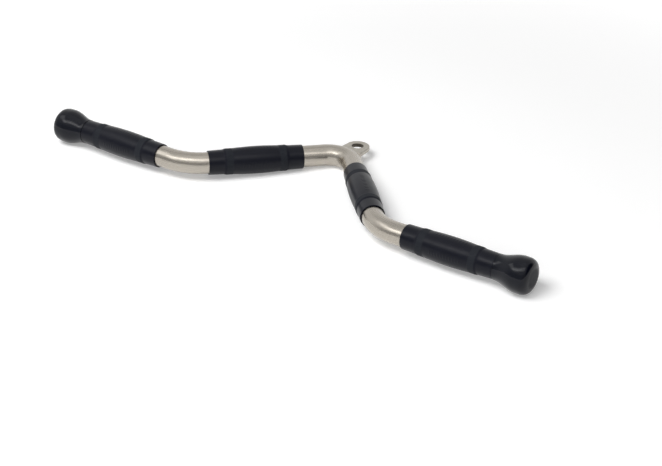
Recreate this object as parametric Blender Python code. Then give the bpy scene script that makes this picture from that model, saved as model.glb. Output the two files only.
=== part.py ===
"""V-bar cable handle: a steel tube bent into a wide W, with an eye plate welded outside its middle bend,
a rubber grip on each of its four arms and a bulb-shaped rubber knob on each end.

Everything is built in the plane of the bent bar: X across the bar, +Y from the middle bend towards the eye
plate, Z square to the plane. An empty then tilts that plane, because the handle lies on its two fat knobs
and on the swell of its inner grips.
"""

from math import asin, cos, pi, radians, sin, sqrt

import bmesh
import bpy
from mathutils import Vector

# Bent tube, one inch stock. Bend radii are those of the centreline.
TUBE_DIAMETER = 0.0254
TUBE_WALL = 0.003
ARM_SLOPE = radians(47)
APEX_BEND_RADIUS = 0.027
ELBOW_BEND_RADIUS = 0.056

# Bare tube left showing beside the grips.
APEX_TO_GRIP = 0.0265
GRIP_TO_ELBOW = 0.0005
ELBOW_TO_GRIP = 0.0135

# Rubber grips, with their thickness over the tube at the ends, collars, shoulders and middle.
GRIP_LENGTH = 0.113
GRIP_END_WALL = 0.0012
GRIP_COLLAR_WALL = 0.0017
GRIP_SHOULDER_WALL = 0.0023
GRIP_MIDDLE_WALL = 0.0033
GRIP_COLLAR_LENGTH = 0.0195
GRIP_BAND_WIDTH = 0.009
GRIP_BAND_RISE = 0.0004
GRIP_END_ROUND = 0.0006

# Rubber end knobs: a neck that flares to a bulb, then a rounded nose and a flat end face.
KNOB_LENGTH = 0.0432
KNOB_DIAMETER = 0.0412
KNOB_NECK_WALL = 0.0015
KNOB_NOSE_LENGTH = 0.015
KNOB_NOSE_INSET = 0.0064
KNOB_END_WALL = 0.009

# Plug pressed into each end of the tube, inside the knob.
PLUG_FLANGE = 0.0025
PLUG_BARREL_LENGTH = 0.014
PLUG_WALL = 0.002
PLUG_FIN_DEPTH = 0.0007
PLUG_FINS = 3

# Eye plate for the cable's snap hook. The standoff is from the tube's side to the hole's centre.
EYE_THICKNESS = 0.005
EYE_HOLE_DIAMETER = 0.0135
EYE_RIM = 0.0077
EYE_HOLE_STANDOFF = 0.0213
EYE_FOOT_WIDTH = 0.031
EYE_EDGE_ROUND = 0.0006

# Fillet weld all round the plate's foot.
WELD_LEG = 0.0036
WELD_BULGE = 0.0006

# Gap between pieces that touch.
FIT_GAP = 0.0003

# Fineness of the round shapes.
ROUND_SEGMENTS = 28
BEND_STEPS = 7
SWELL_STEPS = 6
FLARE_STEPS = 10
NOSE_STEPS = 6
EYE_END_STEPS = 14
FOOT_STEPS = 8
ROUNDING_STEPS = 2
MERGE_DISTANCE = 1e-6
SHARP_ANGLE = radians(35)

TUBE_RADIUS = TUBE_DIAMETER / 2
TUBE_BORE_RADIUS = TUBE_RADIUS - TUBE_WALL
SLEEVE_BORE_RADIUS = TUBE_RADIUS + FIT_GAP
KNOB_RADIUS = KNOB_DIAMETER / 2
SOCKET_DEPTH = KNOB_LENGTH - KNOB_END_WALL
TUBE_IN_SOCKET = SOCKET_DEPTH - PLUG_FLANGE - 2 * FIT_GAP

# Distances along the centreline, from the middle of the apex bend outwards.
APEX_BEND_END = APEX_BEND_RADIUS * ARM_SLOPE
INNER_GRIP_START = APEX_BEND_END + APEX_TO_GRIP
ELBOW_START = INNER_GRIP_START + GRIP_LENGTH + GRIP_TO_ELBOW
ELBOW_END = ELBOW_START + ELBOW_BEND_RADIUS * ARM_SLOPE
OUTER_GRIP_START = ELBOW_END + ELBOW_TO_GRIP
KNOB_START = OUTER_GRIP_START + GRIP_LENGTH + FIT_GAP
TUBE_END = KNOB_START + TUBE_IN_SOCKET


def clear_scene():
    for old in list(bpy.data.objects):
        bpy.data.objects.remove(old, do_unlink=True)


def finish(name, colour, roughness, metallic):
    material = bpy.data.materials.new(name)
    material.use_nodes = True
    shader = material.node_tree.nodes["Principled BSDF"]
    shader.inputs["Base Color"].default_value = (*colour, 1)
    shader.inputs["Roughness"].default_value = roughness
    shader.inputs["Metallic"].default_value = metallic
    material.diffuse_color = (*colour, 1)
    return material


def mesh_of(bm, name, material):
    """The bmesh as a smooth-shaded mesh, with its faces turned outwards."""
    bmesh.ops.recalc_face_normals(bm, faces=bm.faces)
    mesh = bpy.data.meshes.new(name)
    bm.to_mesh(mesh)
    bm.free()
    mesh.materials.append(material)
    mesh.shade_smooth()
    mesh.set_sharp_from_angle(angle=SHARP_ANGLE)
    return mesh


def add_piece(name, mesh, parent):
    piece = bpy.data.objects.new(name, mesh)
    piece.parent = parent
    bpy.context.scene.collection.objects.link(piece)
    return piece


def on_centreline(distance):
    """Point and slope below X on the right half of the bar, a distance along it from the apex."""
    apex_turn = min(distance, APEX_BEND_END) / APEX_BEND_RADIUS
    straight = min(max(distance - APEX_BEND_END, 0), ELBOW_START - APEX_BEND_END)
    elbow_turn = min(max(distance - ELBOW_START, 0) / ELBOW_BEND_RADIUS, ARM_SLOPE)
    slope = apex_turn - elbow_turn
    across = APEX_BEND_RADIUS * sin(apex_turn) + straight * cos(ARM_SLOPE)
    across += ELBOW_BEND_RADIUS * (sin(apex_turn) - sin(slope)) + max(distance - ELBOW_END, 0)
    drop = APEX_BEND_RADIUS * (1 - cos(apex_turn)) + straight * sin(ARM_SLOPE)
    drop += ELBOW_BEND_RADIUS * (cos(slope) - cos(apex_turn))
    return Vector((across, -drop, 0)), slope


def place_on_arm(piece, distance, side):
    """Puts a turned piece's foot on the centreline, with its local Z running out along the arm."""
    point, slope = on_centreline(distance)
    piece.location = (side * point.x, point.y, 0)
    piece.rotation_euler = (0, pi / 2, -slope if side > 0 else pi + slope)


def turned(name, outline, material):
    """Solid of revolution about Z. The outline is (radius, height) points, open if it starts on the axis."""
    bm = bmesh.new()
    verts = [bm.verts.new((radius, 0, height)) for radius, height in outline]
    pairs = list(zip(verts, verts[1:]))
    if outline[0][0] > 0:
        pairs.append((verts[-1], verts[0]))
    edges = [bm.edges.new(pair) for pair in pairs]
    bmesh.ops.spin(
        bm,
        geom=verts + edges,
        cent=(0, 0, 0),
        axis=(0, 0, 1),
        angle=2 * pi,
        steps=ROUND_SEGMENTS,
        use_merge=True,
    )
    bmesh.ops.remove_doubles(bm, verts=bm.verts, dist=MERGE_DISTANCE)
    return mesh_of(bm, name, material)


def bridge(bm, loop, next_loop):
    """Quads between two closed loops of as many points."""
    for step in range(len(loop)):
        following = (step + 1) % len(loop)
        bm.faces.new((loop[step], loop[following], next_loop[following], next_loop[step]))


def bar_frames():
    """Point and slope of each ring of the tube from its left end to its right: bends in steps, arms in one."""
    shares = [step / BEND_STEPS for step in range(BEND_STEPS + 1)]
    stations = [APEX_BEND_END * share for share in shares]
    stations += [ELBOW_START + (ELBOW_END - ELBOW_START) * share for share in shares]
    right = [on_centreline(distance) for distance in stations + [TUBE_END]]
    left = [(Vector((-point.x, point.y, 0)), -slope) for point, slope in right[:0:-1]]
    return left + right


def tube_ring(bm, point, slope, radius):
    side = Vector((sin(slope), cos(slope), 0))
    up = Vector((0, 0, 1))
    angles = [2 * pi * step / ROUND_SEGMENTS for step in range(ROUND_SEGMENTS)]
    return [bm.verts.new(point + radius * (cos(angle) * up + sin(angle) * side)) for angle in angles]


def bar_tube_mesh(material):
    """The bent tube, open at both ends: an outer and an inner skin, joined at the end faces."""
    bm = bmesh.new()
    skins = []
    for radius in (TUBE_RADIUS, TUBE_BORE_RADIUS):
        rings = [tube_ring(bm, point, slope, radius) for point, slope in bar_frames()]
        for ring, next_ring in zip(rings, rings[1:]):
            bridge(bm, ring, next_ring)
        skins.append(rings)
    outer, inner = skins
    bridge(bm, outer[0], inner[0])
    bridge(bm, outer[-1], inner[-1])
    return mesh_of(bm, "bar_tube", material)


def quarter_turns(steps):
    return [pi / 2 * step / steps for step in range(steps + 1)]


def half_grip_outline():
    """Outer side of a grip, from its end to its middle: collar, raised band, then half the barrel."""
    end_radius = SLEEVE_BORE_RADIUS + GRIP_END_WALL - GRIP_END_ROUND
    collar_radius = SLEEVE_BORE_RADIUS + GRIP_COLLAR_WALL
    shoulder_radius = SLEEVE_BORE_RADIUS + GRIP_SHOULDER_WALL
    band_radius = shoulder_radius + GRIP_BAND_RISE
    band_end = GRIP_COLLAR_LENGTH + GRIP_BAND_WIDTH
    outline = [
        (end_radius + GRIP_END_ROUND * sin(angle), GRIP_END_ROUND * (1 - cos(angle)))
        for angle in quarter_turns(ROUNDING_STEPS)
    ]
    outline.append((collar_radius, GRIP_COLLAR_LENGTH))
    outline.append((band_radius, GRIP_COLLAR_LENGTH + (band_radius - collar_radius) / 2))
    outline.append((band_radius, band_end - GRIP_BAND_RISE))
    for step in range(SWELL_STEPS + 1):
        share = step / SWELL_STEPS
        swell = (GRIP_MIDDLE_WALL - GRIP_SHOULDER_WALL) * (1 - (1 - share) ** 2)
        outline.append((shoulder_radius + swell, band_end + share * (GRIP_LENGTH / 2 - band_end)))
    return outline


def grip_outline():
    """A grip's closed outline: the outer side, alike from both ends, and the bore."""
    half = half_grip_outline()
    far_half = [(radius, GRIP_LENGTH - height) for radius, height in half[-2::-1]]
    return half + far_half + [(SLEEVE_BORE_RADIUS, GRIP_LENGTH), (SLEEVE_BORE_RADIUS, 0)]


def knob_outline():
    """A knob's outline, from the floor of its blind socket round the mouth, flare and nose."""
    neck_radius = SLEEVE_BORE_RADIUS + KNOB_NECK_WALL
    face_radius = KNOB_RADIUS - KNOB_NOSE_INSET
    flare_length = KNOB_LENGTH - KNOB_NOSE_LENGTH
    outline = [(0, SOCKET_DEPTH), (SLEEVE_BORE_RADIUS, SOCKET_DEPTH), (SLEEVE_BORE_RADIUS, 0)]
    for step in range(FLARE_STEPS):
        share = step / FLARE_STEPS
        swell = (KNOB_RADIUS - neck_radius) * (1 - cos(pi * share)) / 2
        outline.append((neck_radius + swell, flare_length * share))
    for angle in quarter_turns(NOSE_STEPS):
        radius = face_radius + KNOB_NOSE_INSET * cos(angle)
        outline.append((radius, flare_length + KNOB_NOSE_LENGTH * sin(angle)))
    return outline + [(0, KNOB_LENGTH)]


def plug_outline():
    """A finned cup with a flange. The flange sits above height 0 and the barrel runs down from there."""
    fin_radius = TUBE_BORE_RADIUS - FIT_GAP
    barrel_radius = fin_radius - PLUG_FIN_DEPTH
    hollow_radius = barrel_radius - PLUG_WALL
    outline = [(0, PLUG_FLANGE), (TUBE_RADIUS, PLUG_FLANGE), (TUBE_RADIUS, 0), (barrel_radius, 0)]
    for fin in range(PLUG_FINS):
        foot = -PLUG_BARREL_LENGTH * (fin + 1) / (PLUG_FINS + 1)
        outline += [(barrel_radius, foot + PLUG_FIN_DEPTH), (fin_radius, foot)]
        outline += [(fin_radius, foot - PLUG_FIN_DEPTH), (barrel_radius, foot - 2 * PLUG_FIN_DEPTH)]
    outline += [(barrel_radius, -PLUG_BARREL_LENGTH), (hollow_radius, -PLUG_BARREL_LENGTH)]
    return outline + [(hollow_radius, -PLUG_WALL), (0, -PLUG_WALL)]


def eye_outline():
    """Edge of the eye plate in the bar's plane: a foot coped to the bend, and a full round end."""
    hole_y = TUBE_RADIUS + EYE_HOLE_STANDOFF
    end_radius = EYE_HOLE_DIAMETER / 2 + EYE_RIM
    foot_radius = APEX_BEND_RADIUS + TUBE_RADIUS + FIT_GAP
    foot_reach = asin(EYE_FOOT_WIDTH / 2 / foot_radius)
    outline = []
    for step in range(FOOT_STEPS + 1):
        angle = foot_reach * (2 * step / FOOT_STEPS - 1)
        outline.append((foot_radius * sin(angle), foot_radius * cos(angle) - APEX_BEND_RADIUS))
    for step in range(EYE_END_STEPS + 1):
        angle = pi * step / EYE_END_STEPS
        outline.append((end_radius * cos(angle), hole_y + end_radius * sin(angle)))
    return outline


def eye_hole():
    angles = [2 * pi * step / ROUND_SEGMENTS for step in range(ROUND_SEGMENTS)]
    radius = EYE_HOLE_DIAMETER / 2
    return [(radius * cos(a), TUBE_RADIUS + EYE_HOLE_STANDOFF + radius * sin(a)) for a in angles]


def eye_plate_mesh(material):
    """The flat plate with its hole, before its edges are rounded."""
    bm = bmesh.new()
    edges = []
    for outline in (eye_outline(), eye_hole()):
        verts = [bm.verts.new((x, y, -EYE_THICKNESS / 2)) for x, y in outline]
        edges += [bm.edges.new(pair) for pair in zip(verts, verts[1:] + verts[:1])]
    filled = bmesh.ops.triangle_fill(bm, edges=edges, use_beauty=True)
    faces = [item for item in filled["geom"] if isinstance(item, bmesh.types.BMFace)]
    raised = bmesh.ops.extrude_face_region(bm, geom=faces)
    top = [item for item in raised["geom"] if isinstance(item, bmesh.types.BMVert)]
    bmesh.ops.translate(bm, verts=top, vec=(0, 0, EYE_THICKNESS))
    return mesh_of(bm, "hanger_eye", material)


def round_edges(piece, width):
    bevel = piece.modifiers.new("Rounded edges", "BEVEL")
    bevel.width = width
    bevel.segments = ROUNDING_STEPS
    bevel.limit_method = "ANGLE"
    bevel.angle_limit = SHARP_ANGLE


def above_bend(x, z, lift):
    """Point over the outer side of the apex bend, lifted square to it off a skin one gap out."""
    skin = sqrt((TUBE_RADIUS + FIT_GAP) ** 2 - z**2)
    reach = APEX_BEND_RADIUS + skin + lift
    return Vector((x, sqrt(reach**2 - x**2) - APEX_BEND_RADIUS, z))


def foot_path():
    """Points and outward normals round the plate's foot, in X and Z, one gap clear of the plate."""
    corner_round = EYE_EDGE_ROUND + FIT_GAP
    corner_x = EYE_FOOT_WIDTH / 2 - EYE_EDGE_ROUND
    corner_z = EYE_THICKNESS / 2 - EYE_EDGE_ROUND
    path = []
    for sign in (1, -1):
        for angle in quarter_turns(ROUNDING_STEPS):
            normal = sign * Vector((cos(angle), sin(angle)))
            path.append((sign * Vector((corner_x, corner_z)) + corner_round * normal, normal))
        for step in range(1, FOOT_STEPS):
            along = corner_x * (1 - 2 * step / FOOT_STEPS)
            path.append((sign * Vector((along, corner_z + corner_round)), sign * Vector((0, 1))))
        for angle in quarter_turns(ROUNDING_STEPS):
            normal = sign * Vector((-sin(angle), cos(angle)))
            path.append((sign * Vector((-corner_x, corner_z)) + corner_round * normal, normal))
        path.append((sign * Vector((-corner_x - corner_round, 0)), sign * Vector((-1, 0))))
    return path


def weld_section(spot, normal):
    """The bead's cross-section at one point of its path: along the tube, up the crowned face, down the plate."""
    half = WELD_LEG / 2
    offsets = [(0, 0), (half, 0), (WELD_LEG, 0), (half + WELD_BULGE, half + WELD_BULGE), (0, WELD_LEG)]
    points = []
    for outwards, lift in offsets:
        x, z = spot + outwards * normal
        points.append(above_bend(x, z, lift))
    return points


def eye_weld_mesh(material):
    """One bead that runs all the way round the foot of the plate."""
    bm = bmesh.new()
    loops = [[bm.verts.new(point) for point in weld_section(*place)] for place in foot_path()]
    for loop, next_loop in zip(loops, loops[1:] + loops[:1]):
        bridge(bm, loop, next_loop)
    return mesh_of(bm, "eye_weld", material)


def rest_tilt():
    """Angle of the bar's plane when the knobs and the fattest low point of the inner arms are both down."""
    knob_drop = -on_centreline(KNOB_START)[0].y
    rests = [(0, TUBE_RADIUS)]
    for radius, height in grip_outline():
        rests.append((-on_centreline(INNER_GRIP_START + height)[0].y, radius))
    return asin(min((KNOB_RADIUS - radius) / (knob_drop - drop) for drop, radius in rests))


def stand_on_floor(plane, pieces):
    """Moves the bar's plane so that the pieces' common box stands on Z = 0, centred on X and Y."""
    bpy.context.view_layer.update()
    graph = bpy.context.evaluated_depsgraph_get()
    points = []
    for piece in pieces:
        shown = piece.evaluated_get(graph)
        points += [shown.matrix_world @ vertex.co for vertex in shown.data.vertices]
    low = Vector(map(min, *points))
    high = Vector(map(max, *points))
    plane.location -= Vector(((low.x + high.x) / 2, (low.y + high.y) / 2, low.z))


def build():
    clear_scene()
    nickel = finish("satin_nickel", (0.62, 0.58, 0.53), 0.34, 1.0)
    plate_steel = finish("plate_nickel", (0.58, 0.55, 0.5), 0.45, 1.0)
    weld_steel = finish("weld_nickel", (0.42, 0.36, 0.3), 0.5, 1.0)
    grip_rubber = finish("grip_rubber", (0.018, 0.019, 0.023), 0.5, 0.0)
    knob_rubber = finish("knob_rubber", (0.015, 0.015, 0.017), 0.38, 0.0)
    plug_plastic = finish("plug_plastic", (0.03, 0.03, 0.03), 0.55, 0.0)

    plane = bpy.data.objects.new("bar_plane", None)
    bpy.context.scene.collection.objects.link(plane)
    plane.rotation_euler.x = -rest_tilt()

    eye = add_piece("hanger_eye", eye_plate_mesh(plate_steel), plane)
    round_edges(eye, EYE_EDGE_ROUND)
    pieces = [add_piece("bar_tube", bar_tube_mesh(nickel), plane), eye]
    pieces.append(add_piece("eye_weld", eye_weld_mesh(weld_steel), plane))

    grip = turned("grip", grip_outline(), grip_rubber)
    knob = turned("end_knob", knob_outline(), knob_rubber)
    plug = turned("tube_end_plug", plug_outline(), plug_plastic)
    stations = [
        ("grip_inner", grip, INNER_GRIP_START),
        ("grip_outer", grip, OUTER_GRIP_START),
        ("end_knob", knob, KNOB_START),
        ("tube_end_plug", plug, TUBE_END + FIT_GAP),
    ]
    for side, side_name in ((-1, "left"), (1, "right")):
        for name, mesh, distance in stations:
            piece = add_piece(f"{name}_{side_name}", mesh, plane)
            place_on_arm(piece, distance, side)
            pieces.append(piece)
    stand_on_floor(plane, pieces)


build()
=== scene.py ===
from math import asin, atan2, cos, hypot, pi, radians, sin, sqrt

import bmesh
import bpy
from mathutils import Matrix, Vector


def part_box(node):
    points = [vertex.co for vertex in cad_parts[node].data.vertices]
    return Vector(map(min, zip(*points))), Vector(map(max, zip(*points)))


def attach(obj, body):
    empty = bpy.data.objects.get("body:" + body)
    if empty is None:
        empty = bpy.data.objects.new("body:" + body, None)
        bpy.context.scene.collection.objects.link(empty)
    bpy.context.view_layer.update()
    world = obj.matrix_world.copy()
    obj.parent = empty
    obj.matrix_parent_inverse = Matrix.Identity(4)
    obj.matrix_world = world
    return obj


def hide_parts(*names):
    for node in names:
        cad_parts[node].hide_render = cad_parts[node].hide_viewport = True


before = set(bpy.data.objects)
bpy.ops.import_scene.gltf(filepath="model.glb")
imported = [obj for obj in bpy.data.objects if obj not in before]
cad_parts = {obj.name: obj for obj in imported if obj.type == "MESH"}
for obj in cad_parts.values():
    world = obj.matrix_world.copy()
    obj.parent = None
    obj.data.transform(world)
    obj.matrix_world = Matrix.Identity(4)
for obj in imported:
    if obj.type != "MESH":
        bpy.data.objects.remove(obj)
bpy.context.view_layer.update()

# Camera: a long lens from the handle's front right, a little above it.
# The handle lies on the floor, with its eye plate pointing away to the back.
CAMERA_TARGET = Vector((0.09748, -0.1166, 0.02))
CAMERA_DISTANCE = 1.8905
CAMERA_TURN = 0.5951
CAMERA_HEIGHT = 0.5212
CAMERA_LENS = 94.52
CAMERA_REACH = 50

level_back = Vector((sin(CAMERA_TURN), -cos(CAMERA_TURN), 0))
camera_back = cos(CAMERA_HEIGHT) * level_back + sin(CAMERA_HEIGHT) * Vector((0, 0, 1))
camera = bpy.data.objects.new("camera", bpy.data.cameras.new("camera"))
camera.data.lens = CAMERA_LENS
camera.data.clip_end = CAMERA_REACH
camera.location = CAMERA_TARGET + CAMERA_DISTANCE * camera_back
camera.rotation_euler = camera_back.to_track_quat("Z", "Y").to_euler()
bpy.context.scene.collection.objects.link(camera)
bpy.context.scene.camera = camera

# Bent bar: one length of one-inch steel tube, bent cold round two formers into a wide W, polished along its
# length and plated with satin nickel. Its middle arms meet at the eye, and its outer arms run straight out.
# Everything is built in the bar's own plane, X across and +Y towards the eye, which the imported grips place.
TUBE_RADIUS = 0.0127
TUBE_WALL = 0.003
ARM_SLOPE = radians(47)
APEX_BEND_RADIUS = 0.027
ELBOW_BEND_RADIUS = 0.056
GRIP_LENGTH = 0.113
APEX_BEND_TO_GRIP = 0.0265
GRIP_TO_ELBOW = 0.0005
ELBOW_TO_GRIP = 0.0135
GRIP_TO_KNOB = 0.0003
TUBE_IN_KNOB = 0.0311
APEX_BEND_END = APEX_BEND_RADIUS * ARM_SLOPE
INNER_GRIP_START = APEX_BEND_END + APEX_BEND_TO_GRIP
ELBOW_START = INNER_GRIP_START + GRIP_LENGTH + GRIP_TO_ELBOW
ELBOW_END = ELBOW_START + ELBOW_BEND_RADIUS * ARM_SLOPE
OUTER_GRIP_START = ELBOW_END + ELBOW_TO_GRIP
KNOB_START = OUTER_GRIP_START + GRIP_LENGTH + GRIP_TO_KNOB
TUBE_END = KNOB_START + TUBE_IN_KNOB
TUBE_STEPS_ROUND = 96
TUBE_STEPS_A_BEND = 28
SHARP_ANGLE = radians(38)
TUBE_SHADES = ((0.4, 0.368, 0.32), (0.454, 0.419, 0.369))
TUBE_LINE_STRETCH = (1, 1, 0.03)
TUBE_LINE_DEPTH = 3e-6
TUBE_SWEEP_DEPTH = 4e-6


def on_centreline(distance):
    """Point and slope below X on the right half of the bar, a distance along it from the apex."""
    apex_turn = min(distance, APEX_BEND_END) / APEX_BEND_RADIUS
    straight = min(max(distance - APEX_BEND_END, 0), ELBOW_START - APEX_BEND_END)
    elbow_turn = min(max(distance - ELBOW_START, 0) / ELBOW_BEND_RADIUS, ARM_SLOPE)
    slope = apex_turn - elbow_turn
    across = APEX_BEND_RADIUS * sin(apex_turn) + straight * cos(ARM_SLOPE)
    across += ELBOW_BEND_RADIUS * (sin(apex_turn) - sin(slope)) + max(distance - ELBOW_END, 0)
    drop = APEX_BEND_RADIUS * (1 - cos(apex_turn)) + straight * sin(ARM_SLOPE)
    drop += ELBOW_BEND_RADIUS * (cos(slope) - cos(apex_turn))
    return Vector((across, -drop, 0)), slope


def middle_of(node):
    """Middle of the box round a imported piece."""
    low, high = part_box(node)
    return (low + high) / 2


def bar_plane():
    """The bar's plane in the row frame, through the middles of a packed inner and outer grip."""
    inner = middle_of("grip_inner_right")
    outer = middle_of("grip_outer_right")
    up_plane = Vector((0, inner.y - outer.y, inner.z - outer.z)).normalized()
    inner_drop = on_centreline(INNER_GRIP_START + GRIP_LENGTH / 2)[0].y
    origin = Vector((0, inner.y, inner.z)) - inner_drop * up_plane
    turn = Matrix((Vector((1, 0, 0)), up_plane, Vector((1, 0, 0)).cross(up_plane))).transposed()
    return Matrix.Translation(origin) @ turn.to_4x4()


BAR_PLANE = bar_plane()


class Socket:
    """One output of a shader node. Arithmetic on it adds Math nodes, and node() makes any other node."""

    def __init__(self, tree, link=None):
        self.tree = tree
        self.link = link

    def node(self, kind, settings, sockets, output=0):
        made = self.tree.nodes.new("ShaderNode" + kind)
        for setting, value in settings.items():
            setattr(made, setting, value)
        for name, value in sockets.items():
            target = made.inputs[name]
            if isinstance(value, Socket):
                self.tree.links.new(value.link, target)
            else:
                target.default_value = (*value, 1) if target.type == "RGBA" else value
        return Socket(self.tree, made.outputs[output] if made.outputs else None)

    def math(self, operation, first, second):
        return self.node("Math", {"operation": operation}, {0: first, 1: second})

    def __add__(self, other):
        return self.math("ADD", self, other)

    def __radd__(self, other):
        return self.math("ADD", other, self)

    def __sub__(self, other):
        return self.math("SUBTRACT", self, other)

    def __rsub__(self, other):
        return self.math("SUBTRACT", other, self)

    def __mul__(self, other):
        return self.math("MULTIPLY", self, other)

    def __rmul__(self, other):
        return self.math("MULTIPLY", other, self)


def empty_tree(owner):
    """The cleared node tree of a material or a world, as a start for its nodes."""
    owner.use_nodes = True
    owner.node_tree.nodes.clear()
    return Socket(owner.node_tree)


def finish(name, sockets_of):
    """A material whose Principled shader has the sockets that sockets_of works out."""
    material = bpy.data.materials.new(name)
    start = empty_tree(material)
    shader = start.node("BsdfPrincipled", {}, sockets_of(start))
    start.node("OutputMaterial", {}, {"Surface": shader})
    return material


def rise(value, low, high):
    """0 below low, 1 above high, and a smooth rise between."""
    sockets = {"Value": value, "From Min": low, "From Max": high}
    return value.node("MapRange", {"interpolation_type": "SMOOTHSTEP"}, sockets)


def noise(place, scale, detail):
    """Soft noise between 0 and 1, with about scale blots to a metre."""
    return place.node("TexNoise", {}, {"Vector": place, "Scale": scale, "Detail": detail})


def tint(amount, first, second):
    """The first colour where the amount is 0, the second where it is 1."""
    return amount.node("Mix", {"data_type": "RGBA"}, {0: amount, 6: first, 7: second}, 2)


def relief(height, depth, below=None):
    """Bump of a height between 0 and 1, its full depth in metres."""
    sockets = {"Height": height, "Distance": depth}
    if below:
        sockets["Normal"] = below
    return height.node("Bump", {}, sockets)


def mesh_object(name, bm, material, placing, made_places=None):
    """The bmesh as a smooth-shaded object, with made_place for where each point was when it was made."""
    bmesh.ops.recalc_face_normals(bm, faces=bm.faces)
    mesh = bpy.data.meshes.new(name)
    bm.to_mesh(mesh)
    bm.free()
    made = mesh.attributes.new("made_place", "FLOAT_VECTOR", "POINT")
    for vertex, kept in zip(mesh.vertices, made.data):
        kept.vector = made_places[vertex.index] if made_places else vertex.co
    mesh.transform(placing)
    mesh.materials.append(material)
    mesh.shade_smooth()
    mesh.set_sharp_from_angle(angle=SHARP_ANGLE)
    piece = bpy.data.objects.new(name, mesh)
    bpy.context.scene.collection.objects.link(piece)
    return piece


def join_rings(bm, ring, next_ring):
    """Faces between two closed rings of as many points, or between a ring and one point on the axis."""
    count = max(len(ring), len(next_ring))
    for step in range(count):
        corners = [ring[step % len(ring)], ring[(step + 1) % len(ring)]]
        corners += [next_ring[(step + 1) % len(next_ring)], next_ring[step % len(next_ring)]]
        bm.faces.new(dict.fromkeys(corners))


def tube_stations():
    """Distance along the bar of each ring, from the left end to the right: close together in the bends."""
    shares = [step / TUBE_STEPS_A_BEND for step in range(TUBE_STEPS_A_BEND + 1)]
    right = [APEX_BEND_END * share for share in shares]
    right += [ELBOW_START + (ELBOW_END - ELBOW_START) * share for share in shares]
    right.append(TUBE_END)
    return [-distance for distance in right[:0:-1]] + right


def tube_mesh():
    """Outer and inner skin of the tube, and where each of its points was on the straight stock."""
    bm = bmesh.new()
    stock_places = []
    skins = []
    for radius in (TUBE_RADIUS, TUBE_RADIUS - TUBE_WALL):
        rings = []
        for distance in tube_stations():
            point, slope = on_centreline(abs(distance))
            side = 1 if distance >= 0 else -1
            out = Vector((side * sin(slope), cos(slope), 0))
            ring = []
            for step in range(TUBE_STEPS_ROUND):
                angle = 2 * pi * step / TUBE_STEPS_ROUND
                offset = radius * (cos(angle) * Vector((0, 0, 1)) + sin(angle) * out)
                ring.append(bm.verts.new(Vector((side * point.x, point.y, 0)) + offset))
                stock_places.append((radius * cos(angle), radius * sin(angle), distance))
            rings.append(ring)
        for ring, next_ring in zip(rings, rings[1:]):
            join_rings(bm, ring, next_ring)
        skins.append(rings)
    outer, inner = skins
    join_rings(bm, outer[0], inner[0])
    join_rings(bm, outer[-1], inner[-1])
    return bm, stock_places


def made_place(start):
    """Where the shaded point was when its piece was made, before it was bent or placed."""
    return start.node("Attribute", {"attribute_name": "made_place"}, {}, "Vector")


def tube_nickel(start):
    """Satin nickel: fine polishing lines along the stock, a little cloud and faint handling marks."""
    stock = made_place(start)
    drawn = stock.node("VectorMath", {"operation": "MULTIPLY"}, {0: stock, 1: TUBE_LINE_STRETCH})
    lines = noise(drawn, scale=2600, detail=4)
    cloud = noise(stock, scale=45, detail=3)
    sweep = noise(drawn, scale=420, detail=3)
    return {
        "Base Color": tint(cloud, *TUBE_SHADES),
        "Metallic": 1.0,
        "Roughness": 0.19 + 0.08 * lines + 0.08 * rise(sweep, 0.35, 0.75) + 0.05 * cloud,
        "Normal": relief(lines, TUBE_LINE_DEPTH, relief(sweep, TUBE_SWEEP_DEPTH)),
    }


tube_bm, stock_places = tube_mesh()
tube = mesh_object("nickel_tube", tube_bm, finish("satin_nickel", tube_nickel), BAR_PLANE, stock_places)
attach(tube, "root")
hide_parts("bar_tube")

# Eye plate: 5 mm flat steel, cut with a full round end and one hole for the cable's snap hook, and coped at
# its foot to the outer side of the middle bend. Its edges are rounded off and it is plated with the bar,
# which leaves its blasted faces more matte than the polished tube.
EYE_THICKNESS = 0.005
EYE_HOLE_RADIUS = 0.00675
EYE_RIM = 0.0077
EYE_HOLE_STANDOFF = 0.0213
EYE_FOOT_WIDTH = 0.031
EYE_EDGE_ROUND = 0.0009
EYE_HOLE_Y = TUBE_RADIUS + EYE_HOLE_STANDOFF
EYE_END_STEPS = 48
EYE_FOOT_STEPS = 24
EYE_EDGE_STEPS = 4
EYE_SINK = 0.0002
EYE_WALL_MARGIN = 0.0001
# Painted shade: a dark colour on the hole's wall that stands in for the shade inside the hole.
EYE_HOLE_PAINTED_SHADE = (0.15, 0.135, 0.115)
EYE_FACE_SHADES = ((0.415, 0.388, 0.34), (0.51, 0.48, 0.425))
EYE_PIT_DEPTH = 9e-6
EYE_MOTTLE_DEPTH = 3e-5


def eye_outline():
    """Edge of the plate in the bar's plane: the coped foot, then the full round end."""
    end_radius = EYE_HOLE_RADIUS + EYE_RIM
    foot_radius = APEX_BEND_RADIUS + TUBE_RADIUS - EYE_SINK
    foot_reach = asin(EYE_FOOT_WIDTH / 2 / foot_radius)
    outline = []
    for step in range(EYE_FOOT_STEPS + 1):
        angle = foot_reach * (2 * step / EYE_FOOT_STEPS - 1)
        outline.append((foot_radius * sin(angle), foot_radius * cos(angle) - APEX_BEND_RADIUS))
    for step in range(EYE_END_STEPS + 1):
        angle = pi * step / EYE_END_STEPS
        outline.append((end_radius * cos(angle), EYE_HOLE_Y + end_radius * sin(angle)))
    return outline


def eye_hole():
    """Edge of the hole in the bar's plane."""
    angles = [pi * step / EYE_END_STEPS for step in range(2 * EYE_END_STEPS)]
    return [(EYE_HOLE_RADIUS * cos(a), EYE_HOLE_Y + EYE_HOLE_RADIUS * sin(a)) for a in angles]


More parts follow.
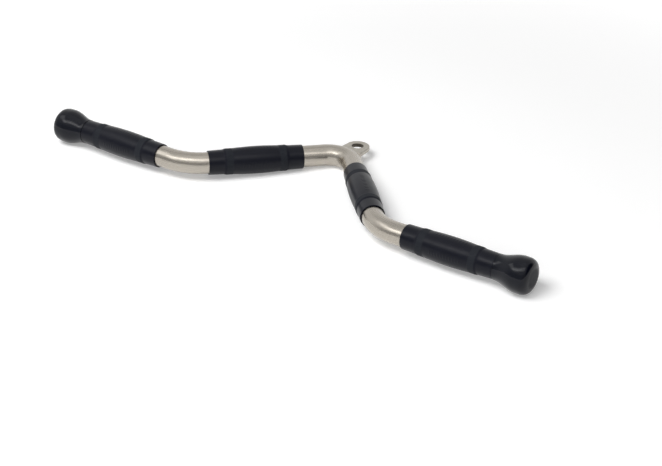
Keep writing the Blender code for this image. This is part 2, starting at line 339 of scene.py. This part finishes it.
def eye_plate_mesh():
    """The plate cut from sheet, with every sharp edge rounded off."""
    bm = bmesh.new()
    edges = []
    for outline in (eye_outline(), eye_hole()):
        verts = [bm.verts.new((x, y, -EYE_THICKNESS / 2)) for x, y in outline]
        edges += [bm.edges.new(pair) for pair in zip(verts, verts[1:] + verts[:1])]
    filled = bmesh.ops.triangle_fill(bm, edges=edges, use_beauty=True)
    faces = [item for item in filled["geom"] if isinstance(item, bmesh.types.BMFace)]
    raised = bmesh.ops.extrude_face_region(bm, geom=faces)
    top = [item for item in raised["geom"] if isinstance(item, bmesh.types.BMVert)]
    bmesh.ops.translate(bm, verts=top, vec=(0, 0, EYE_THICKNESS))
    bmesh.ops.recalc_face_normals(bm, faces=bm.faces)
    rims = [edge for edge in bm.edges if edge.calc_face_angle(0) > SHARP_ANGLE]
    bmesh.ops.bevel(
        bm, geom=rims, offset=EYE_EDGE_ROUND, segments=EYE_EDGE_STEPS, profile=0.5, affect="EDGES"
    )
    return bm


def plate_nickel(start):
    """Matte nickel over a blasted face: fine pits, soft mottling, and painted shade on the wall inside the
    hole.
    """
    place = made_place(start)
    pits = noise(place, scale=2400, detail=3)
    mottle = noise(place, scale=330, detail=3)
    cloud = noise(place, scale=90, detail=2)
    face = tint(rise(0.6 * mottle + 0.4 * cloud, 0.35, 0.65), *EYE_FACE_SHADES)
    in_plane = place.node("VectorMath", {"operation": "MULTIPLY"}, {0: place, 1: (1, 1, 0)})
    hole_middle = (0, EYE_HOLE_Y, 0)
    from_hole = place.node("VectorMath", {"operation": "DISTANCE"}, {0: in_plane, 1: hole_middle}, "Value")
    # Painted shade: the hole's wall and the start of its rounded edge are coloured much darker than the face.
    past_wall = rise(from_hole, EYE_HOLE_RADIUS + EYE_WALL_MARGIN, EYE_HOLE_RADIUS + EYE_EDGE_ROUND)
    return {
        "Base Color": tint(past_wall, EYE_HOLE_PAINTED_SHADE, face),
        "Metallic": 1.0,
        "Roughness": 0.34 + 0.1 * mottle + 0.08 * pits,
        "Normal": relief(pits, EYE_PIT_DEPTH, relief(mottle, EYE_MOTTLE_DEPTH)),
    }


eye_plate = mesh_object("eye_plate", eye_plate_mesh(), finish("matte_nickel", plate_nickel), BAR_PLANE)
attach(eye_plate, "root")
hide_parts("hanger_eye")

# Weld: one fillet bead laid all round the plate's foot, fused into the tube and the plate.
# Its ripples follow the welder's steps and the plating has softened them.
WELD_LEG = 0.0036
WELD_BULGE = 0.0006
WELD_SINK = 0.00012
WELD_END_SWELL = 0.6
RIPPLE_PITCH = 0.0013
RIPPLE_HEIGHT = 0.00013
WELD_STEP = 0.00022
WELD_CROWN_STEPS = 8
WELD_CORNER_STEPS = 8
WELD_WAVES = ((0.06, 1100, 0), (0.05, 470, 1))
WELD_SHADES = ((0.5, 0.455, 0.39), (0.44, 0.39, 0.325))
WELD_GRAIN_DEPTH = 1.2e-5


def above_bend(x, z, lift):
    """Point over the outer side of the apex bend, lifted square to it."""
    reach = APEX_BEND_RADIUS + sqrt(TUBE_RADIUS**2 - z**2) + lift
    return Vector((x, sqrt(reach**2 - x**2) - APEX_BEND_RADIUS, z))


def foot_path():
    """Points and outward normals in X and Z, evenly spaced round the plate's foot."""
    half_run = EYE_FOOT_WIDTH / 2 - EYE_EDGE_ROUND
    half_rise = EYE_THICKNESS / 2 - EYE_EDGE_ROUND
    corners = [(1, 1, 0), (-1, 1, pi / 2), (-1, -1, pi), (1, -1, 3 * pi / 2)]
    path = []
    for across, high, turn in corners:
        corner = Vector((across * half_run, high * half_rise))
        for step in range(WELD_CORNER_STEPS + 1):
            angle = turn + pi / 2 * step / WELD_CORNER_STEPS
            normal = Vector((cos(angle), sin(angle)))
            path.append((corner + (EYE_EDGE_ROUND - WELD_SINK) * normal, normal))
        start, normal = path[-1]
        along = Vector((-normal.y, normal.x))
        run = 2 * (half_run if abs(along.x) > abs(along.y) else half_rise)
        steps = round(run / WELD_STEP)
        path += [(start + run * step / steps * along, normal) for step in range(1, steps)]
    return path


def hand_wander(travelled):
    """How the bead's size varies along it: each wave has a share, radians to a metre and a start."""
    return 1 + sum(share * sin(travelled * rate + start) for share, rate, start in WELD_WAVES)


def weld_mesh():
    """The bead, its crown rippled along the path and its toes sunk into the tube and the plate."""
    bm = bmesh.new()
    loops = []
    travelled = 0
    path = foot_path()
    last = path[0][0]
    for spot, normal in path:
        travelled += (spot - last).length
        last = spot
        phase = travelled / RIPPLE_PITCH
        ripple = RIPPLE_HEIGHT * (1 - (2 * (phase % 1) - 1) ** 2)
        wander = hand_wander(travelled)
        leg = WELD_LEG * wander * (1 + WELD_END_SWELL * abs(normal.x))
        loop = [above_bend(*spot, -WELD_SINK)]
        for step in range(WELD_CROWN_STEPS + 1):
            share = step / WELD_CROWN_STEPS
            crown = (WELD_BULGE * wander + ripple) * sin(pi * share) * sqrt(2)
            outwards = leg * (1 - share) + crown
            lift = leg * share + crown - WELD_SINK * (1 - share)
            x, z = spot + outwards * normal
            loop.append(above_bend(x, z, lift))
        loops.append([bm.verts.new(point) for point in loop])
    for loop, next_loop in zip(loops, loops[1:] + loops[:1]):
        join_rings(bm, loop, next_loop)
    return bm


def weld_nickel(start):
    """Nickel over a rough bead, browner where the heat has stained it."""
    place = made_place(start)
    grain = noise(place, scale=1500, detail=3)
    stain = rise(noise(place, scale=160, detail=2), 0.4, 0.7)
    return {
        "Base Color": tint(stain, *WELD_SHADES),
        "Metallic": 1.0,
        "Roughness": 0.36 + 0.14 * grain,
        "Normal": relief(grain, WELD_GRAIN_DEPTH),
    }


weld = mesh_object("eye_weld_bead", weld_mesh(), finish("weld_nickel", weld_nickel), BAR_PLANE)
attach(weld, "root")
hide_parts("eye_weld")

# Grips: four alike sleeves of moulded black rubber, pushed wet onto the arms and dried in place.
# Each has a smooth collar at both ends, a raised matte band beside each collar, and between the bands a
# barrel that swells in its middle and carries four rows of short moulded ribs.
GRIP_GAP = 0.00005
GRIP_BORE = TUBE_RADIUS + GRIP_GAP
GRIP_BORE_LIP = 0.0002
GRIP_END_RADIUS = 0.0142
GRIP_COLLAR_RADIUS = 0.0147
GRIP_BAND_RADIUS = 0.01545
GRIP_SHOULDER_RADIUS = 0.0153
GRIP_MIDDLE_RADIUS = 0.0163
GRIP_COLLAR_LENGTH = 0.0195
GRIP_BAND_LENGTH = 0.009
GRIP_BAND_END = GRIP_COLLAR_LENGTH + GRIP_BAND_LENGTH
GRIP_LIP_ROUND = 0.0005
GRIP_BAND_SLOPE = 0.0018
GRIP_SHOULDER_SLOPE = 0.0004
GRIP_MATTE_START = GRIP_COLLAR_LENGTH - 1.5 * GRIP_BAND_SLOPE
GRIP_PALE_EDGE = (GRIP_COLLAR_LENGTH + 0.0004, GRIP_COLLAR_LENGTH + 0.0016)
GRIP_BARREL_EDGE = (GRIP_BAND_END - 0.0002, GRIP_BAND_END + 0.0003)
GRIP_STEPS_ROUND = 192
GRIP_LIP_STEPS = 5
GRIP_RING_PITCH = 0.00045
RIB_ROWS = 4
RIB_PITCH = 0.0036
RIB_LENGTH = 0.0016
RIB_WIDTH = radians(15)
RIB_HEIGHT = 0.00016
RIB_END_FALL = (RIB_LENGTH / 2 - 0.0002, RIB_LENGTH / 2 + 0.0004)
RIB_SIDE_FALL = (RIB_WIDTH / 2 - radians(1), RIB_WIDTH / 2 + radians(2.5))
RIBS_END_BEFORE_BAND = 0.007
RIB_ROW_END = GRIP_LENGTH / 2 - GRIP_BAND_END - RIBS_END_BEFORE_BAND
RIB_ROW_FALL = (RIB_ROW_END, RIB_ROW_END + 0.0003)
GRIP_SHADES = ((0.0009, 0.0014, 0.0048), (0.0021, 0.0027, 0.007))
GRIP_BAND_SHADE = (0.0075, 0.009, 0.0128)
GRIP_SHINE = 0.22
GRIP_GRAIN_DEPTH = 1.6e-5


def quarter(steps):
    """Angles of a quarter turn, both ends included."""
    return [pi / 2 * step / steps for step in range(steps + 1)]


def eased(value, low, high):
    """0 below low, 1 above high, and a smooth rise between."""
    share = min(max((value - low) / (high - low), 0), 1)
    return share * share * (3 - 2 * share)


def grip_radius(height):
    """Outer radius of a grip at a height above its foot, without the rounding of its lips."""
    from_end = min(height, GRIP_LENGTH - height)
    to_band = min(from_end / GRIP_COLLAR_LENGTH, 1)
    collar = GRIP_END_RADIUS + (GRIP_COLLAR_RADIUS - GRIP_END_RADIUS) * to_band
    to_middle = max(from_end - GRIP_BAND_END, 0) / (GRIP_LENGTH / 2 - GRIP_BAND_END)
    barrel = GRIP_SHOULDER_RADIUS + (GRIP_MIDDLE_RADIUS - GRIP_SHOULDER_RADIUS) * (1 - (1 - to_middle) ** 2)
    on_band = eased(from_end, GRIP_COLLAR_LENGTH - GRIP_BAND_SLOPE, GRIP_COLLAR_LENGTH + GRIP_BAND_SLOPE)
    off_band = eased(from_end, GRIP_BAND_END - GRIP_SHOULDER_SLOPE, GRIP_BAND_END + GRIP_SHOULDER_SLOPE)
    return collar * (1 - on_band) + GRIP_BAND_RADIUS * on_band * (1 - off_band) + barrel * off_band


def rounded_lip(radius, lip_round, steps):
    """Quarter round from the flat foot of a turned piece to its outside, as radius and height."""
    return [(radius - lip_round * (1 - sin(a)), lip_round * (1 - cos(a))) for a in quarter(steps)]


def grip_outline():
    """The whole section of a grip, as radius and height: lip, outside and far lip, closed by the bore."""
    lip = [(GRIP_BORE, GRIP_BORE_LIP), (GRIP_BORE + GRIP_BORE_LIP, 0)]
    lip += rounded_lip(GRIP_END_RADIUS, GRIP_LIP_ROUND, GRIP_LIP_STEPS)
    between_lips = GRIP_LENGTH - 2 * GRIP_LIP_ROUND
    rings = round(between_lips / GRIP_RING_PITCH)
    heights = [GRIP_LIP_ROUND + between_lips * step / rings for step in range(1, rings)]
    outside = [(grip_radius(height), height) for height in heights]
    far_lip = [(radius, GRIP_LENGTH - height) for radius, height in lip[::-1]]
    return lip + outside + far_lip


def rib_height(height, angle):
    """How far the moulded ribs stand out of the barrel at a place on it."""
    from_middle = abs(height - GRIP_LENGTH / 2)
    row_turn = 2 * pi / RIB_ROWS
    off_row = abs((angle + row_turn / 2) % row_turn - row_turn / 2)
    off_rib = abs((from_middle + RIB_PITCH / 2) % RIB_PITCH - RIB_PITCH / 2)
    in_row = 1 - eased(from_middle, *RIB_ROW_FALL)
    along = 1 - eased(off_rib, *RIB_END_FALL)
    around = 1 - eased(off_row, *RIB_SIDE_FALL)
    return RIB_HEIGHT * in_row * along * around


def turned(outline, steps_round, closed):
    """Solid turned about Z from (radius, height) points, closed on itself or ending on the axis."""
    bm = bmesh.new()
    rings = []
    for radius, height in outline:
        count = steps_round if radius > 0 else 1
        angles = [2 * pi * step / steps_round for step in range(count)]
        rings.append([bm.verts.new((radius * cos(a), radius * sin(a), height)) for a in angles])
    followers = rings[1:] + rings[:1] if closed else rings[1:]
    for ring, next_ring in zip(rings, followers):
        join_rings(bm, ring, next_ring)
    return bm


def grip_mesh():
    """The turned sleeve with its ribs raised."""
    bm = turned(grip_outline(), GRIP_STEPS_ROUND, True)
    for vert in bm.verts:
        x, y, height = vert.co
        vert.co.xy *= 1 + rib_height(height, atan2(y, x)) / hypot(x, y)
    return bm


def height_of(place):
    """The Z of a place or of a direction."""
    return place.node("SeparateXYZ", {}, {0: place}, "Z")


def grip_rubber(start):
    """Black rubber: half-gloss collars and barrel, paler matte bands, and the mould's fine grain."""
    place = made_place(start)
    height = height_of(place)
    from_end = place.math("MINIMUM", height, GRIP_LENGTH - height)
    past_collar = rise(from_end, *GRIP_PALE_EDGE)
    on_barrel = rise(from_end, *GRIP_BARREL_EDGE)
    band = past_collar * (1 - on_barrel)
    matte = rise(from_end, GRIP_MATTE_START, GRIP_COLLAR_LENGTH) * (1 - on_barrel)
    grain = noise(place, scale=2200, detail=3)
    cloud = noise(place, scale=120, detail=3)
    return {
        "Base Color": tint(band, tint(cloud, *GRIP_SHADES), GRIP_BAND_SHADE),
        "Roughness": 0.24 + 0.34 * matte + 0.03 * on_barrel + 0.1 * cloud + 0.05 * grain,
        "Specular IOR Level": GRIP_SHINE,
        "Normal": relief(grain * (0.35 + 0.65 * past_collar), GRIP_GRAIN_DEPTH),
    }


def on_arm(distance, side):
    """Placing of a turned piece: its foot on the bar's centreline, its own Z running out along the arm."""
    point, slope = on_centreline(distance)
    turn = -slope if side > 0 else pi + slope
    foot = Matrix.Translation((side * point.x, point.y, 0))
    return BAR_PLANE @ foot @ Matrix.Rotation(turn, 4, "Z") @ Matrix.Rotation(pi / 2, 4, "Y")


ARM_SIDES = ((-1, "left"), (1, "right"))
grip_finish = finish("grip_rubber", grip_rubber)
for side, side_name in ARM_SIDES:
    for arm, distance in (("inner", INNER_GRIP_START), ("outer", OUTER_GRIP_START)):
        placing = on_arm(distance, side)
        grip = mesh_object(f"rubber_grip_{arm}_{side_name}", grip_mesh(), grip_finish, placing)
        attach(grip, "root")
        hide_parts(f"grip_{arm}_{side_name}")

# End knobs: bulbs of smooth moulded black rubber pushed over the ends of the tube up to the outer grips.
# A narrow neck flares to a bulb, which rounds over to a slightly domed end face.
KNOB_LENGTH = 0.0432
KNOB_RADIUS = 0.02055
KNOB_NECK_RADIUS = 0.0145
KNOB_NOSE_LENGTH = 0.015
KNOB_NOSE_POWER = 3.5
KNOB_SOCKET_DEPTH = 0.0342
KNOB_LIP_ROUND = 0.0002
KNOB_STEPS_ROUND = 144
KNOB_LIP_STEPS = 4
KNOB_FLARE_STEPS = 40
KNOB_NOSE_STEPS = 48
KNOB_FACE_EDGE = (KNOB_LENGTH - 0.001, KNOB_LENGTH - 0.0001)
KNOB_SHADES = ((0.0014, 0.0022, 0.0052), (0.0034, 0.0042, 0.0082))
KNOB_SHINE = 0.25
KNOB_GRAIN_DEPTH = 8e-6
KNOB_CLOUD_DEPTH = 6e-5


def knob_mesh():
    """A knob from the floor of its blind socket round the mouth, flare and nose."""
    flare_length = KNOB_LENGTH - KNOB_NOSE_LENGTH
    outline = [(0, KNOB_SOCKET_DEPTH), (GRIP_BORE, KNOB_SOCKET_DEPTH), (GRIP_BORE, 0)]
    outline += rounded_lip(KNOB_NECK_RADIUS, KNOB_LIP_ROUND, KNOB_LIP_STEPS)
    for step in range(1, KNOB_FLARE_STEPS):
        share = step / KNOB_FLARE_STEPS
        swell = (KNOB_RADIUS - KNOB_NECK_RADIUS) * (1 - cos(pi * share)) / 2
        outline.append((KNOB_NECK_RADIUS + swell, flare_length * share))
    for angle in quarter(KNOB_NOSE_STEPS)[:-1]:
        across, along = cos(angle) ** (2 / KNOB_NOSE_POWER), sin(angle) ** (2 / KNOB_NOSE_POWER)
        outline.append((KNOB_RADIUS * across, flare_length + KNOB_NOSE_LENGTH * along))
    return turned(outline + [(0, KNOB_LENGTH)], KNOB_STEPS_ROUND, False)


def knob_rubber(start):
    """Smooth half-gloss rubber, duller on the end face where it is set down."""
    place = made_place(start)
    end_face = rise(height_of(place), *KNOB_FACE_EDGE)
    grain = noise(place, scale=1400, detail=2)
    cloud = noise(place, scale=90, detail=3)
    return {
        "Base Color": tint(cloud, *KNOB_SHADES),
        "Roughness": 0.09 + 0.06 * cloud + 0.02 * grain + 0.42 * end_face,
        "Specular IOR Level": KNOB_SHINE,
        "Normal": relief(grain, KNOB_GRAIN_DEPTH, relief(cloud, KNOB_CLOUD_DEPTH)),
    }


knob_finish = finish("knob_rubber", knob_rubber)
for side, side_name in ARM_SIDES:
    knob = mesh_object(f"rubber_knob_{side_name}", knob_mesh(), knob_finish, on_arm(KNOB_START, side))
    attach(knob, "root")
    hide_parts(f"end_knob_{side_name}")

# Plugs: black plastic, pressed into the tube's ends so that its rim doesn't cut the knobs.
# The knobs cover them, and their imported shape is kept.
PLUG_SHADES = ((0.024, 0.024, 0.025), (0.036, 0.036, 0.037))
PLUG_GRAIN_DEPTH = 1.5e-5


def plug_plastic(start):
    """Black moulded plastic with a fine grain."""
    place = start.node("TexCoord", {}, {}, "Object")
    grain = noise(place, scale=900, detail=2)
    return {
        "Base Color": tint(grain, *PLUG_SHADES),
        "Roughness": 0.46 + 0.16 * grain,
        "Normal": relief(grain, PLUG_GRAIN_DEPTH),
    }


plug_finish = finish("plug_plastic", plug_plastic)
for side, side_name in ARM_SIDES:
    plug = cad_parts[f"tube_end_plug_{side_name}"]
    plug.data.materials.clear()
    plug.data.materials.append(plug_finish)

# Studio: a plain pale floor in a light grey room, darker in front, with a black flag at the right. A long
# softbox with a bright core hangs above and in front of the handle, a second box hangs at its left, and two
# fill lamps that no reflection shows light the floor.
FLOOR_HALF = 6.0
FLOOR_TONE = (0.88, 0.88, 0.88)
FLOOR_GLOW = (0.22, 0.22, 0.22)
FAR_FLOOR_GLOW = (0.9, 0.9, 0.9)
GLOW_FADE = (0.35, 1.5)
ROOM_LIGHT_SHARE = 0.2
BACKDROP_LEVEL = 0.95
WALL_LEVEL = 0.72
CEILING_LEVEL = 1.0
WALL_FADE = (0.4, 0.7)
CEILING_FADE = (0.88, 0.99)
FRONT_SHARE = 0.45
FRONT_TURN = radians(-62)
FRONT_FADE = (-0.35, 0.5)
FRONT_TOP_FADE = (0.36, 0.6)
FLAG_SHARE = 0.04
FLAG_TURN = radians(24)
FLAG_ELEVATION = radians(16)
FLAG_FADE = (0.78, 0.93)


def towards(turn, elevation):
    """Unit vector that way, turned from +X towards +Y and raised from the floor."""
    return Vector((cos(turn) * cos(elevation), sin(turn) * cos(elevation), sin(elevation)))


def seen_directly(start):
    """1 for the rays that show the background: to the camera, in a reflection, or through glass."""
    kinds = ("Is Camera Ray", "Is Glossy Ray", "Is Transmission Ray")
    camera_ray, glossy_ray, glass_ray = [start.node("LightPath", {}, {}, kind) for kind in kinds]
    return start.math("MAXIMUM", start.math("MAXIMUM", camera_ray, glossy_ray), glass_ray)


floor_material = bpy.data.materials.new("pale_floor")
floor_start = empty_tree(floor_material)
floor_diffuse = floor_start.node("BsdfDiffuse", {}, {"Color": FLOOR_TONE})
floor_place = floor_start.node("TexCoord", {}, {}, "Object")
from_handle = floor_place.node("VectorMath", {"operation": "LENGTH"}, {0: floor_place}, "Value")
glow = tint(rise(from_handle, *GLOW_FADE), FLOOR_GLOW, FAR_FLOOR_GLOW)
floor_glow = floor_start.node("Emission", {}, {"Color": glow, "Strength": seen_directly(floor_start)})
floor_shader = floor_start.node("AddShader", {}, {0: floor_diffuse, 1: floor_glow})
floor_start.node("OutputMaterial", {}, {"Surface": floor_shader})

floor_bm = bmesh.new()
floor_corners = [(-1, -1), (1, -1), (1, 1), (-1, 1)]
floor_bm.faces.new([floor_bm.verts.new((FLOOR_HALF * x, FLOOR_HALF * y, 0)) for x, y in floor_corners])
floor = mesh_object("floor", floor_bm, floor_material, Matrix.Identity(4))

room = bpy.data.worlds.new("studio_room")
bpy.context.scene.world = room
room_start = empty_tree(room)
direction = room_start.node("TexCoord", {}, {}, "Generated")
upwards = height_of(direction)


def facing(way):
    """1 in that direction from the handle, 0 square to it and -1 away from it."""
    sockets = {0: direction, 1: tuple(way)}
    return direction.node("VectorMath", {"operation": "DOT_PRODUCT"}, sockets, "Value")


front = rise(facing(towards(FRONT_TURN, 0)), *FRONT_FADE) * (1 - rise(upwards, *FRONT_TOP_FADE))
flag = rise(facing(towards(FLAG_TURN, FLAG_ELEVATION)), *FLAG_FADE)
unshaded = (1 - (1 - FRONT_SHARE) * front) * (1 - (1 - FLAG_SHARE) * flag)
wall = rise(upwards, *WALL_FADE)
ceiling = rise(upwards, *CEILING_FADE)
level = BACKDROP_LEVEL - (BACKDROP_LEVEL - WALL_LEVEL) * wall + (CEILING_LEVEL - WALL_LEVEL) * ceiling
camera_ray = room_start.node("LightPath", {}, {}, "Is Camera Ray")
shown = room_start.math("MAXIMUM", level * unshaded, camera_ray)
strength = shown * (ROOM_LIGHT_SHARE + (1 - ROOM_LIGHT_SHARE) * seen_directly(room_start))
surround = room_start.node("Background", {}, {"Color": (1, 1, 1), "Strength": strength})
room_start.node("OutputWorld", {}, {"Surface": surround})


def area_lamp(name, place, size, level):
    """A flat lamp as bright as a white surface times its level, facing down until it is turned."""
    lamp = bpy.data.objects.new(name, bpy.data.lights.new(name, "AREA"))
    lamp.data.shape = "RECTANGLE"
    lamp.data.size, lamp.data.size_y = size
    lamp.data.energy = level * pi * size[0] * size[1]
    lamp.location = place
    bpy.context.scene.collection.objects.link(lamp)
    return lamp


def hang_box(name, height, centre, size, turn, level):
    """A level box at a height. Its centre and size are in shares of the height."""
    box = area_lamp(name, height * Vector((*centre, 1)), [height * side for side in size], level)
    box.rotation_euler.z = turn


def stand_fill(name, turn, elevation, distance, size, level):
    """A lamp that faces the handle and that no reflection shows."""
    way = towards(turn, elevation)
    fill = area_lamp(name, distance * way, size, level)
    fill.rotation_euler = way.to_track_quat("Z", "Y").to_euler()
    fill.visible_glossy = False


hang_box("softbox", height=2.6, centre=(0.0, -0.68), size=(1.75, 0.52), turn=radians(23), level=1.8)
hang_box("softbox_core", height=2.55, centre=(-0.25, -0.79), size=(0.8, 0.05), turn=radians(25), level=6.6)
hang_box("side_box", height=2.5, centre=(-0.84, -0.52), size=(0.46, 0.9), turn=radians(20), level=1.4)
stand_fill("high_fill", turn=radians(-118), elevation=radians(59), distance=2.8, size=(1.5, 1.5), level=6.3)
stand_fill("low_fill", turn=radians(-75), elevation=radians(20), distance=7.0, size=(10.7, 3.5), level=2.0)

bpy.context.scene.view_settings.view_transform = "Standard"
